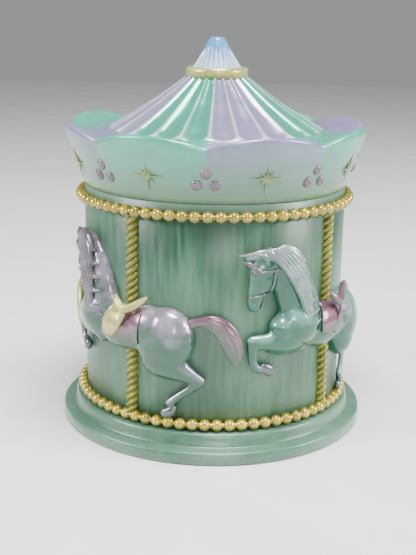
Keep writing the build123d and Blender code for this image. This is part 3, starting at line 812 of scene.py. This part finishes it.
# %% Saddle and blanket
BLANKET = [
    (-4.7, 48.5), (-3.8, 41.0), (-1.2, 38.8), (3.0, 38.0), (6.8, 38.2), (7.6, 42.5), (8.2, 49.0),
    (2.8, 50.5),
]
FLAP = [
    (-3.0, 53.4), (1.4, 50.2), (0.4, 45.2), (-2.8, 40.8), (-6.6, 39.4), (-9.6, 40.8), (-9.6, 44.8),
    (-6.8, 50.2),
]
SEAT = [
    (-3.6, 53.0, 4.8, 0.8), (-2.2, 51.6, 5.4, 1.3), (0.2, 50.0, 5.8, 1.5), (3.2, 50.2, 5.4, 1.4),
    (6.2, 51.8, 4.2, 1.2), (8.8, 53.6, 3.0, 0.7),
]
FLAP_EDGE = [(0.8, 50.0, 6.2, 1.0), (0.2, 46.0, 6.6, 0.8), (-2.4, 42.0, 6.2, 0.7), (-5.4, 39.6, 5.4, 0.6)]
CLOTH_THICK, FLAP_THICK = 0.55, 1.0

BLANKET_SKIN = patch(BLANKET, CLOTH_THICK)
seat = bmesh.new()
roll(seat, SEAT, flat=0.9, spacing=0.3)
roll(seat, FLAP_EDGE, flat=0.7, spacing=0.3)
SADDLE_SKIN = joined(fired(seat, 0.30, 2), patch(FLAP, FLAP_THICK))
print("blanket", len(BLANKET_SKIN.faces), "faces; saddle", len(SADDLE_SKIN.faces), "faces")

# %% Bridle
STRAPS = [
    [(-31.2, 64.4), (-30.2, 64.2), (-32.6, 56.2), (-33.6, 56.4)],  # cheek strap
    [(-42.0, 55.4), (-42.0, 54.5), (-33.2, 55.6), (-33.2, 56.5)],  # nose band
    [(-33.6, 56.4), (-32.8, 56.0), (-35.4, 50.6), (-36.2, 50.9)],  # chin strap
    [(-30.2, 64.6), (-30.4, 63.8), (-40.0, 62.8), (-40.0, 63.6)],  # brow band
]
BRIDLE_SKIN = joined(*(patch(strap, CLOTH_THICK) for strap in STRAPS))
print("bridle", len(BRIDLE_SKIN.faces), "faces")


# %% [markdown]
# ## Four horses on the drum
#
# All four come from the same mould and differ only in their paint. Each gets its own copies
# of the skins, bent round the drum at its pole.

# %% Place the horses
LIVERIES = {
    "front_left": ("lilac", dict(body=LILAC_SILVER, mane=SMOKE, tail=MAUVE, saddle=PALE_GOLD, cloth=MAUVE)),
    "front_right": ("aqua", dict(body=AQUA, mane=SILVER_MANE, tail=SILVER_MANE, saddle=MAUVE,
                                 cloth=LILAC_SILVER)),
    "back_right": ("rose", dict(body=ROSE, mane=PALE_GOLD, tail=PALE_GOLD, saddle=BLUE,
                                cloth=LILAC_SILVER)),
    "back_left": ("blue", dict(body=BLUE, mane=PALE_GOLD, tail=PALE_GOLD, saddle=LILAC_SILVER,
                               cloth=ROSE)),
}
for corner, (coat, livery) in LIVERIES.items():
    horse_slot = f"horse_{coat}"
    pieces = [
        ("body", BODY_SKIN, livery["body"], [f"horse_{corner}"], horse_slot),
        ("hooves", HOOF_SKIN, HOOF, (), horse_slot),
        ("mane", MANE_SKIN, livery["mane"], (), horse_slot),
        ("forelock", FORELOCK_SKIN, SMOKE, (), horse_slot),
        ("tail", TAIL_SKIN, livery["tail"], (), horse_slot),
        ("bridle", BRIDLE_SKIN, SMOKE, (), horse_slot),
        ("saddle_seat", SADDLE_SKIN, livery["saddle"], [f"saddle_{corner}"], "saddle_paint"),
        ("blanket", BLANKET_SKIN, livery["cloth"], (), "saddle_paint"),
    ]
    for name, skin, paint, replaced, slot in pieces:
        shape = bent(skin.copy(), POLE_ANGLES[corner])
        finish_piece(f"{name}_{corner}", shape, "base", [paint], replaced)
print("four horses placed")


# %% [markdown]
# ## The roof's valance
#
# Eight scallops stand round the foot of the tent roof, painted aqua and lilac in turn. The
# ring is turned on the lathe from its section, then the rim is raised and pushed out in the
# middle of each scallop. The push fades to nothing at the seam, where the ring is round.

# %% Valance shape
RIM_RISE, RIM_PUSH = 3.3, 2.3
PUSH_START, VALLEY_Z = 88.0, 103.3  # the wall is round below the first height
VALANCE_SECTION = [
    (45.75, 85.1), (46.1, 85.5), (46.9, 88.4), (48.2, 92.4), (49.6, 96.4), (50.7, 99.6), (51.2, 101.6),
    (51.2, 102.6), (50.8, 103.2), (50.2, 103.3), (49.4, 103.1), (47.2, 102.9), (44.0, 102.9), (41.0, 103.2),
    (38.2, 103.8), (36.0, 103.4), (35.0, 102.8), (35.0, 100.8), (42.7, 96.8), (42.9, 86.0), (43.3, 85.1),
]


def arch(angle):
    """1 in the middle of a scallop, 0 in the valleys."""
    return 1 - from_middle(angle, SCALLOPS) ** 2


def lean_share(height):
    """How much of the push reaches a height: 0 near the seam, 1 at the valleys."""
    return max(0.0, (height - PUSH_START) / (VALLEY_Z - PUSH_START)) ** 1.4


valance = spun(VALANCE_SECTION, SCALLOPS * 24)
for vertex in valance.verts:
    radius = math.hypot(vertex.co.x, vertex.co.y)
    height = vertex.co.z
    outer = radius > 44.5 + (height - 85) * 0.20  # a cone midway through the wall
    gutter = radius < 48.0 and height > 100
    share = lean_share(height) if outer else 0.0
    if gutter:
        share = max(0.0, (radius - 40.0) / 10.0) ** 1.5
    lift = arch(angle_at(vertex.co)) * min(share, 1.0)
    vertex.co.x *= 1 + RIM_PUSH * lift / radius
    vertex.co.y *= 1 + RIM_PUSH * lift / radius
    vertex.co.z += RIM_RISE * lift
paint_scallops(valance)
bmesh.ops.recalc_face_normals(valance, faces=valance.faces)
print("valance:", len(valance.faces), "faces")


# %% [markdown]
# ## Paint that fades
#
# The scallops carry full colour at the rim and fade to bare milky resin at the seam. The
# shader reads the height: paint above, resin below, with streaks from the brush along the
# ring. It also reads how much a face looks up: faces that look up get the full colour, and
# faces that look sideways or down get a mix with the wash colour. Lilac and aqua are two
# materials, because the painter stopped at each valley.

# %% Fading paint
SEAM_GREEN = (86, 124, 98)


def rim_paint(name, colour, wash):
    paint = Paint(name, Metallic=0.18, Roughness=0.28, Coat_Weight=0.5, Coat_Roughness=0.15,
                  Subsurface_Weight=0.35, Subsurface_Scale=0.004)
    brush = paint.noise(90, 3.0, (0.6, 0.6, 4.0))
    wisps = paint.noise(380, 3.0, (0.5, 0.5, 1.0))
    level = paint.sum(paint.height(), paint.span(brush, 0.2, 0.8, -0.0035, 0.0035))
    strong = paint.mix(paint.span(wisps, 0.3, 0.7), darker(colour, 0.92), linear(*colour))
    rim = paint.mix(paint.span(paint.facing_up(), -0.2, 0.25, 0.55, 1.0), linear(*wash), strong)
    faded = paint.mix(paint.span(level, 0.0965, 0.1045), linear(*wash), rim)
    paint.colour(paint.mix(paint.span(level, 0.086, 0.0975), linear(*SEAM_GREEN), faded))
    paint.bump(wisps, 0.08, 0.0002)
    return paint.material


RIM_LILAC = rim_paint("rim_lilac", (142, 136, 178), (104, 134, 128))
RIM_AQUA = rim_paint("rim_aqua", (70, 182, 156), (88, 148, 126))
finish_piece("scalloped_valance", valance, "lid", [RIM_LILAC, RIM_AQUA], ["valance"])
print("valance painted")


# %% [markdown]
# ## The tent roof
#
# Twenty-four hollow flutes run down the roof, with a sharp ridge between neighbours and a
# rounded end above the gutter. The cone is turned first; then each point sinks by how near
# it is to the middle of its flute. The sum of two squares in `from_axis` gives the round
# end. Each point also keeps that value as its "edge", which the paint reads to paint a
# highlight on the ridges and shade in the flutes.

# %% Roof cone
CONE_FOOT = (37.9, 103.9)
CONE_TOP = (10.3, 122.1)
FLUTE_DEPTH = 1.75
FLUTE_END = 0.14  # share of the slope over which a flute ends
CONE_SAG = 0.55  # how far the slope hangs below a straight line
CONE_ROWS = 26
STEPS_PER_FLUTE = 14


def cone_profile():
    """The slope from foot to top, as (radius, height) points."""
    rows = []
    for row in range(CONE_ROWS + 1):
        t = row / CONE_ROWS
        sag = CONE_SAG * math.sin(math.pi * t)
        rows.append(tuple(between(low, high, t) - sag for low, high in zip(CONE_FOOT, CONE_TOP)))
    return rows


def fluted(vertex):
    """-1 and 1 on the ridges beside a flute, 0 in its middle."""
    return from_middle(angle_at(vertex.co), FLUTES)


def hollow(vertex):
    """1 in the middle of a flute, 0 on the ridges."""
    return 1 - fluted(vertex) ** 2


rim, inside = [(35.2, 102.9), (37.7, 103.2)], [(8.2, CONE_TOP[1]), (8.0, 118.6), (34.9, 103.0)]
roof = spun(rim + cone_profile() + inside, FLUTES * STEPS_PER_FLUTE)
highlight_layer = roof.verts.layers.float.new("edge")
for vertex in roof.verts:
    radius = math.hypot(vertex.co.x, vertex.co.y)
    t = (CONE_FOOT[0] - radius) / (CONE_FOOT[0] - CONE_TOP[0])
    slope = between(CONE_FOOT[1], CONE_TOP[1], t)
    outside = vertex.co.z > slope - 2.2 and vertex.co.z > CONE_FOOT[1] - 0.3
    past = max(0.0, 1 - t / FLUTE_END)
    from_axis = fluted(vertex) ** 2 + past ** 2
    # This value later paints the highlights on the ridges and the shade in the flutes.
    vertex[highlight_layer] = min(1.0, from_axis ** 4) if t > 0.02 else 0.3
    if outside:
        sink = FLUTE_DEPTH * (radius / CONE_FOOT[0]) ** 0.8 * max(0.0, 1 - from_axis)
        vertex.co.x *= 1 - 0.52 * sink / radius  # inwards and down, square to the slope
        vertex.co.y *= 1 - 0.52 * sink / radius
        vertex.co.z -= 0.85 * sink
paint_scallops(roof)
print(FLUTES, "flutes,", len(roof.faces), "faces")

# %% Roof paint
# Near-white painted highlight for the ridges of the roof and its flute feet.
RIDGE_HIGHLIGHT = (244, 248, 248)


def roof_paint(name, deep, bright):
    """Pearl with painted shade in the flutes and a painted highlight on the ridges."""
    paint = Paint(name, Metallic=0.45, Roughness=0.16, Coat_Weight=0.6, Coat_Roughness=0.10)
    cloud = paint.noise(140, 3.0)
    highlight_share = paint.sum(paint.edge(), paint.span(cloud, 0.3, 0.7, -0.10, 0.10))
    # The flutes take the darker colour as painted shade; the ridges turn near-white as a painted highlight.
    soft = paint.mix(paint.span(highlight_share, 0.0, 0.55), linear(*deep), linear(*bright))
    paint.colour(paint.mix(paint.span(highlight_share, 0.55, 1.0), soft, linear(*RIDGE_HIGHLIGHT)))
    paint.link(paint.span(cloud, 0.3, 0.7, 0.12, 0.22), paint.shader.inputs["Roughness"])
    paint.bump(cloud, 0.04, 0.0002)
    return paint.material


# In each pair the first colour is the painted shade in the flutes, the second the lit tone beside the
# ridges.
ROOF_LILAC = roof_paint("roof_lilac", (150, 146, 182), (190, 186, 212))
ROOF_AQUA = roof_paint("roof_aqua", (70, 166, 144), (122, 206, 188))
finish_piece("tent_roof", roof, "lid", [ROOF_LILAC, ROOF_AQUA], ["roof_cone"])
print("tent roof painted")


# %% [markdown]
# ## Collar and spire
#
# A gold collar hides the joint between roof and spire, and its lower edge dips over every
# flute. The spire flares out like a trumpet: fluted at the foot, plain at the tip, and a
# clearer blue than the roof, with the same painted highlights on its ridges.

# %% Collar
COLLAR_MIDDLE = 123.5
COLLAR_DIP = 0.55
COLLAR_SECTION = [  # radius, and height from the collar's middle
    (10.9, 0.0), (10.75, 0.8), (10.2, 1.35), (9.4, 1.5), (8.3, 1.1), (8.1, -0.6), (8.8, -1.6), (10.0, -1.9),
    (10.7, -1.2),
]
collar = spun([(radius, COLLAR_MIDDLE + rise) for radius, rise in COLLAR_SECTION], FLUTES * 8)
for vertex in collar.verts:
    if vertex.co.z < COLLAR_MIDDLE - 1.0:
        vertex.co.z -= COLLAR_DIP * hollow(vertex)
finish_piece("gold_collar", collar, "lid", [PALE_GOLD], ["roof_collar"])
print("collar set")

# %% Spire
SPIRE_LINE = [
    (8.9, 124.0), (7.6, 125.9), (5.95, 128.5), (4.6, 130.9), (3.35, 133.2), (2.55, 134.5), (1.9, 134.95),
]
SPIRE_FOOT = 122.2
SPIRE_FLUTE = 0.6
PLAIN_FROM, PLAIN_FADE = 131.8, 3.0  # the flutes die out below the first height

flare = [tuple(point) for point in smooth_path(SPIRE_LINE, 36)]
spire = spun([(6.0, SPIRE_FOOT)] + flare + [(0.3, ROOF_TIP - 0.1), (0.3, SPIRE_FOOT)], FLUTES * 8)
highlight_layer = spire.verts.layers.float.new("edge")
for vertex in spire.verts:
    radius = math.hypot(vertex.co.x, vertex.co.y)
    if radius > 2.0 and vertex.co.z > 123.0:
        fade = min(1.0, max(0.0, (PLAIN_FROM - vertex.co.z) / PLAIN_FADE))
        depth = SPIRE_FLUTE * fade * hollow(vertex)
        vertex[highlight_layer] = fade * fluted(vertex) ** 6
        vertex.co.x *= 1 - depth / radius
        vertex.co.y *= 1 - depth / radius
bmesh.ops.holes_fill(spire, edges=[edge for edge in spire.edges if edge.is_boundary])


def spire_blue():
    paint = Paint("spire_blue", Metallic=0.12, Roughness=0.24, Coat_Weight=0.5, Coat_Roughness=0.12,
                  Subsurface_Weight=0.4, Subsurface_Scale=0.003)
    cloud = paint.noise(260, 3.0)
    level = paint.sum(paint.height(), paint.span(cloud, 0.2, 0.8, -0.001, 0.001))
    blue = paint.mix(paint.span(level, 0.1255, 0.1325), linear(150, 182, 208), linear(88, 146, 196))
    # Near-white on the ridges is a painted highlight.
    paint.colour(paint.mix(paint.edge(), blue, linear(236, 242, 248)))
    paint.bump(cloud, 0.05)
    return paint.material


finish_piece("fluted_spire", spire, "lid", [spire_blue()], ["roof_spire"])
print("spire in place")


# %% [markdown]
# ## Berries and starbursts
#
# Under each valley sits a cluster of three berries, and under each scallop a starburst of
# fine raised rays. Both are small castings on a wall that leans outwards, so each is built
# flat, tipped by the wall's lean and set on its surface.

# %% Berries
WALL_LEAN = 18.5  # degrees
BERRY_SPOTS = [(0.0, 95.2), (-3.5, 91.4), (3.5, 91.4)]  # degrees from the valley, and height
BERRY_R, BERRY_RISE = 1.85, 0.9


def wall_radius(angle, height):
    """Outside radius of the valance at an angle and a height."""
    (low_radius, low), (high_radius, high) = VALANCE_SECTION[2], VALANCE_SECTION[4]
    plain = between(low_radius, high_radius, (height - low) / (high - low))
    return plain + RIM_PUSH * lean_share(height) * arch(angle - FIRST_VALLEY)


def on_wall(angle, height):
    """Like round_drum, but on the leaning wall of the valance."""
    lean = Matrix.Rotation(math.radians(WALL_LEAN), 4, "X")
    return round_drum(angle, wall_radius(angle, height), height) @ lean


berry = pattern(bmesh.ops.create_uvsphere, u_segments=18, v_segments=10, radius=1)
berries = bmesh.new()
for lobe in range(SCALLOPS):
    valley = FIRST_VALLEY + lobe * 360 / SCALLOPS
    for side, height in BERRY_SPOTS:
        place = on_wall(valley + side, height)
        stamp(berries, berry, place @ Matrix.Diagonal((BERRY_R, BERRY_R, BERRY_RISE, 1)))
        tip = place @ Matrix.Translation((0.15, 0.15, 0.75)) @ Matrix.Diagonal((0.6, 0.6, 0.45, 1))
        stamp(berries, berry, tip)
finish_piece("berry_clusters", berries, "lid", [BERRY], ["valance_berries"])
print(len(BERRY_SPOTS) * SCALLOPS, "berries")

# %% Starbursts
spike = pattern(bmesh.ops.create_cone, cap_ends=True, segments=6, radius1=0.42, radius2=0.06, depth=1)
RAYS = {0: 6.0, 90: 4.4, 45: 3.5, 22.5: 2.3, 67.5: 2.6}  # lean in degrees, and length
STAR_HEIGHT = 93.6
stars = bmesh.new()
for lobe in range(SCALLOPS):
    place = on_wall(FIRST_VALLEY + (lobe + 0.5) * 360 / SCALLOPS, STAR_HEIGHT)
    for quarter in range(4):
        for lean, reach in RAYS.items():
            ray = place @ Matrix.Rotation(math.radians(lean + 90 * quarter), 4, "Z")
            ray = ray @ Matrix.Translation((reach / 2, 0, 0.02)) @ Matrix.Diagonal((1, 1, 0.75, 1))
            ray = ray @ Matrix.Rotation(math.radians(90), 4, "Y") @ Matrix.Diagonal((1, 1, reach, 1))
            stamp(stars, spike, ray)
# Its second colour is painted shade and a painted reflection on the faces that look down.
STAR_GOLD = pearl("star_gold", (160, 174, 104), shaded_under=(110, 130, 80), metal=0.25, rough=0.4)
finish_piece("starbursts", stars, "lid", [STAR_GOLD], ["valance_stars"])
print(SCALLOPS, "starbursts")


# %% [markdown]
# ## Metal and plastic inside
#
# The movement keeps its CAD shapes and gets real finishes: turned brass for wheels and
# cylinder, tempered steel for arbors, comb and spring, a dull casting for the frame. The
# well floor is seen when the lid is off, and the key, the cover and the lever from below.

# %% Metals
def metal(name, colour, rough, grain, metallic=1.0):
    paint = Paint(name, Metallic=metallic, Roughness=rough)
    lines = paint.noise(grain, 4.0, (1, 6, 1))
    spots = paint.noise(grain * 0.2, 3.0)
    paint.colour(paint.mix(paint.span(spots, 0.3, 0.7), darker(colour, 0.82), linear(*colour)))
    paint.link(paint.span(lines, 0.3, 0.7, rough - 0.07, rough + 0.10), paint.shader.inputs["Roughness"])
    paint.bump(lines, 0.08, 0.0001)
    return paint.material


BRASS = metal("turned_brass", (212, 178, 104), 0.28, 900)
STEEL = metal("tempered_steel", (150, 154, 162), 0.30, 1100)
PLATED = metal("plated_steel", (196, 196, 198), 0.24, 1300)
CASTING = metal("die_casting", (160, 160, 158), 0.50, 500)
COVER = metal("moulded_cover", (58, 62, 66), 0.55, 700, metallic=0.0)
CARD = metal("well_floor_board", (206, 208, 198), 0.70, 600, metallic=0.0)
FAN = metal("fan_nylon", (230, 230, 224), 0.45, 800, metallic=0.0)
FINISHES = {
    "frosted_resin": BASE_RESIN, "floor_card": CARD, "cover_plastic": COVER, "screw_steel": PLATED,
    "movement_casting": CASTING, "movement_brass": BRASS, "spring_steel": STEEL, "comb_steel": STEEL,
    "key_steel": PLATED, "fan_plastic": FAN,
}
slots = {part["node"]: part["material_slot"] for part in frame["record"]["subparts"]}
for node, piece in frame["nodes"].items():
    finish = FINISHES.get(slots[node])
    if finish is not None:  # the other nodes are replaced by the pieces above
        piece.data.materials.clear()
        piece.data.materials.append(finish)
print("movement finished")

# %% [markdown]
# ## Floor paint
#
# The floor gets a matt, faintly mottled paper.

# %% Floor paint
paper = Paint("studio_paper", Roughness=0.85)
mottle = paper.noise(30, 4.0)
paper.colour(paper.mix(paper.span(mottle, 0.3, 0.7), linear(226, 228, 226), linear(234, 236, 234)))
floor.data.materials.append(paper.material)
print("floor painted")
